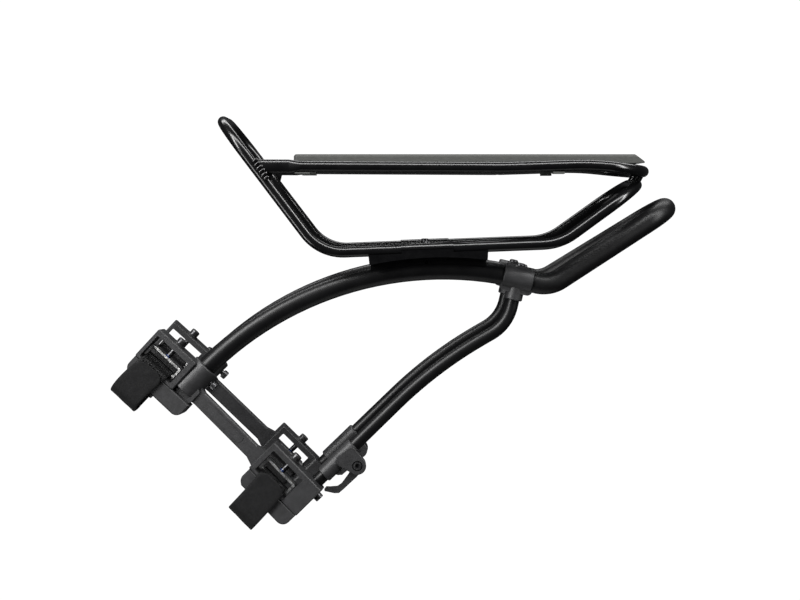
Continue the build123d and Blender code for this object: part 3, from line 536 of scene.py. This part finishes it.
def loop_pile(name, basis, station, bottom, seed):
    """Curled loops that stand on the strap's outer face between its tail and the buckle."""
    rng = random.Random(seed)
    path, _ = smooth_path(RING, True, 0.25)
    count = len(path)
    places = [i for i, p in enumerate(path) if p.x > 1.0 and p.y > bottom]
    mesh = bmesh.new()
    for _ in range(PILE_LOOPS):
        i = rng.choice(places)
        p, q = path[i], path[(i + 1) % count]
        tangent = (q - p).normalized()
        normal = Vector((tangent.y, -tangent.x))
        if normal.dot(p - Vector((0, 5))) < 0:
            normal = -normal
        base_b, base_n = p + normal * PILE_FOOT
        across = rng.uniform(-0.5, 0.5) * (STRAP_WIDTH - PILE_MARGIN)
        base = strap_point(basis, station, base_b, base_n, across)
        lift = strap_point(basis, station, base_b + normal.x, base_n + normal.y, across) - base
        lift.normalize()
        side = lift.orthogonal()
        side.rotate(Matrix.Rotation(rng.uniform(0, 2 * math.pi), 3, lift))
        third = lift.cross(side)
        radius = rng.uniform(*PILE_RADIUS)
        slump = rng.uniform(-0.5, 0.5)
        last = None
        for k in range(PILE_STEPS + 1):
            angle = math.pi * k / PILE_STEPS
            centre = (base + side * (radius * math.cos(angle))
                      + lift * (radius * PILE_STRETCH * math.sin(angle)))
            centre += third * (radius * slump * math.sin(angle))
            outward = (centre - base).normalized()
            ring = []
            for m in range(PILE_SIDES):
                turn = 2 * math.pi * m / PILE_SIDES
                ring.append(mesh.verts.new(centre + outward * (PILE_THREAD * math.cos(turn))
                                           + third * (PILE_THREAD * math.sin(turn))))
            if last:
                for m in range(PILE_SIDES):
                    n = (m + 1) % PILE_SIDES
                    mesh.faces.new((last[m], last[n], ring[n], ring[m]))
            last = ring
    return smooth_object(mesh, name)


def add_straps(materials, pile):
    """Hook-and-loop strap of each station: looped inner ring, pile and smooth tail."""
    for s, side in enumerate(("left", "right")):
        for k, station in enumerate(("upper", "lower")):
            basis = station_frame(side, station)
            body = f"{side}_{station}_buckle_set"
            stem = f"{side}_{station}_strap"
            top = STRAP_SET[station]["top"]
            ring = band(stem + "_ring", basis, RING, True, station, s + 2 * k)
            tail_points = TAIL_START + [(15.2, top - 6), (15.5, top)]
            tail = band(stem + "_tail", basis, tail_points, False, station, 1 + s + 2 * k)
            loops = loop_pile(stem + "_pile", basis, station, min(top - 4, 18), 11 + s + 2 * k)
            ring.data.materials.append(pile)
            loops.data.materials.append(pile)
            tail.data.materials.append(materials["black_webbing"])
            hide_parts(stem)
            for piece in (ring, tail, loops):
                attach(piece, body)


# ------------------------------------------------------------------ welds and small details

RAIL_WELD_RIPPLES = 6
RAIL_WELD_Y = 0.0686
RAIL_WELD_START = (0.0022, 0.3026)       # x and z of both ends
RAIL_WELD_END = (0.0122, 0.2872)
RIPPLE_SIZE = (0.0019, 0.0043, 0.0023)   # half length, width and height of a ripple

# threadlocker on each tension bolt: radius in m and height above the stay's axis in mm
THREADLOCKER_RINGS = [
    (0.00235, 36.3), (0.00253, 36.1), (0.00253, 35.7),
    (0.00253, 35.3), (0.00253, 34.9), (0.00235, 34.7),
]
THREADLOCKER_SIDES = 24
THREADLOCKER_WOBBLE = 0.006


def blob_chain(name, places, sizes, material, body, seed):
    """Row of overlapping ripples, as a weld bead leaves."""
    rng = random.Random(seed)
    mesh = bmesh.new()
    for (centre, along, out), (length, width, height) in zip(places, sizes):
        made = bmesh.ops.create_icosphere(mesh, subdivisions=3, radius=1.0)["verts"]
        side = along.cross(out).normalized()
        spin = rng.uniform(-0.15, 0.15)
        for vert in made:
            x, y, z = vert.co
            x += spin * y
            vert.co = centre + along * (x * length) + side * (y * width) + out * (z * height)
    bead = smooth_object(mesh, name)
    bead.data.materials.append(material)
    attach(bead, body)


def add_rail_welds(materials):
    """Broad rippled beads where the flattened rail ends lie on the legs of the front hoop."""
    paint = materials["black_tube"]
    rng = random.Random(7)
    for side, f in (("left", -1), ("right", 1)):
        y = f * RAIL_WELD_Y
        start = Vector((RAIL_WELD_START[0], y, RAIL_WELD_START[1]))
        end = Vector((RAIL_WELD_END[0], y, RAIL_WELD_END[1]))
        along = (end - start).normalized()
        places, sizes = [], []
        for k in range(RAIL_WELD_RIPPLES):
            share = k / (RAIL_WELD_RIPPLES - 1)
            wobble = rng.uniform(0.92, 1.08)
            taper = 1.0 - 0.25 * abs(2 * share - 1) ** 3
            places.append((start.lerp(end, share), along, Vector((0, f, 0))))
            length, width, height = RIPPLE_SIZE
            sizes.append((length * wobble, width * taper * wobble, height * taper * wobble))
        blob_chain(f"{side}_rail_weld", places, sizes, paint, "deck", 3)


def add_threadlocker():
    """Thin blue band on each tension bolt, above the buckle's yoke and slim enough to pass it."""
    blue = threadlocker()
    for side in ("left", "right"):
        for station in ("upper", "lower"):
            origin, along, up, out = station_frame(side, station)
            mesh = bmesh.new()
            rings = []
            for radius, n in THREADLOCKER_RINGS:
                ring = []
                for k in range(THREADLOCKER_SIDES):
                    angle = 2 * math.pi * k / THREADLOCKER_SIDES
                    wobble = 1 + THREADLOCKER_WOBBLE * math.sin(5 * angle)
                    spot = along * math.cos(angle) + out * math.sin(angle)
                    ring.append(mesh.verts.new(origin + up * (n / 1000) + spot * (radius * wobble)))
                rings.append(ring)
            skin_rings(mesh, rings)
            ring_object = smooth_object(mesh, f"{side}_{station}_threadlocker")
            ring_object.data.materials.append(blue)
            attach(ring_object, f"{side}_{station}_bolt")


add_camera()
materials = make_materials()
dress_cad_nodes(materials)
add_straps(materials, loop_pile_material())
add_rail_welds(materials)
add_threadlocker()
add_stage()
add_lights()
bpy.context.scene.view_settings.view_transform = "Standard"
